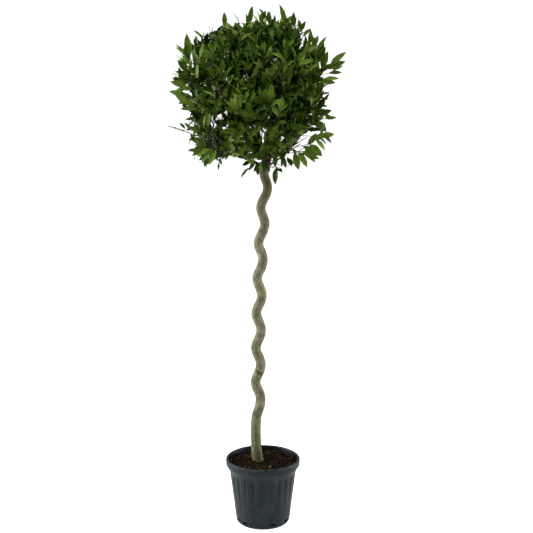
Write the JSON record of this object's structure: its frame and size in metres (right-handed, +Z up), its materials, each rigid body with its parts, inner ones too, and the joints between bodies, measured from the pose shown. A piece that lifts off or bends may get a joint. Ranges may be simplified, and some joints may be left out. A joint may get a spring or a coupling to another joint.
{
  "type": "potted standard bay tree with a corkscrew stem",
  "caption": "Evergreen standard with a clipped round head of leaves on a bare corkscrew stem, in a fluted round nursery pot.",
  "frame": {"origin": "centre of the pot's flat underside, where it stands on the ground", "axes": "+Z up along the stem, +X to the right and -Y towards the viewer in the pictured view"},
  "size_m": [0.6417, 0.5756, 1.9428],
  "materials": {
    "plastic": "moulded, satin",
    "compost": "damp bark chips",
    "bark": "smooth bark",
    "bough_bark": "smooth bark",
    "leaves": "waxy, satin"
  },
  "bodies": {
    "root": {"pot": "plastic", "compost": "compost", "trunk": "bark", "bough_top": "bough_bark", "bough_upper_1": "bough_bark", "bough_upper_2": "bough_bark", "bough_upper_3": "bough_bark", "bough_upper_4": "bough_bark", "bough_lower_1": "bough_bark", "bough_lower_2": "bough_bark", "bough_lower_3": "bough_bark", "bough_lower_4": "bough_bark", "bough_lower_5": "bough_bark", "foliage_top": "leaves", "foliage_upper_1": "leaves", "foliage_upper_2": "leaves", "foliage_upper_3": "leaves", "foliage_upper_4": "leaves", "foliage_lower_1": "leaves", "foliage_lower_2": "leaves", "foliage_lower_3": "leaves", "foliage_lower_4": "leaves", "foliage_lower_5": "leaves"}
  },
  "joints": []
}
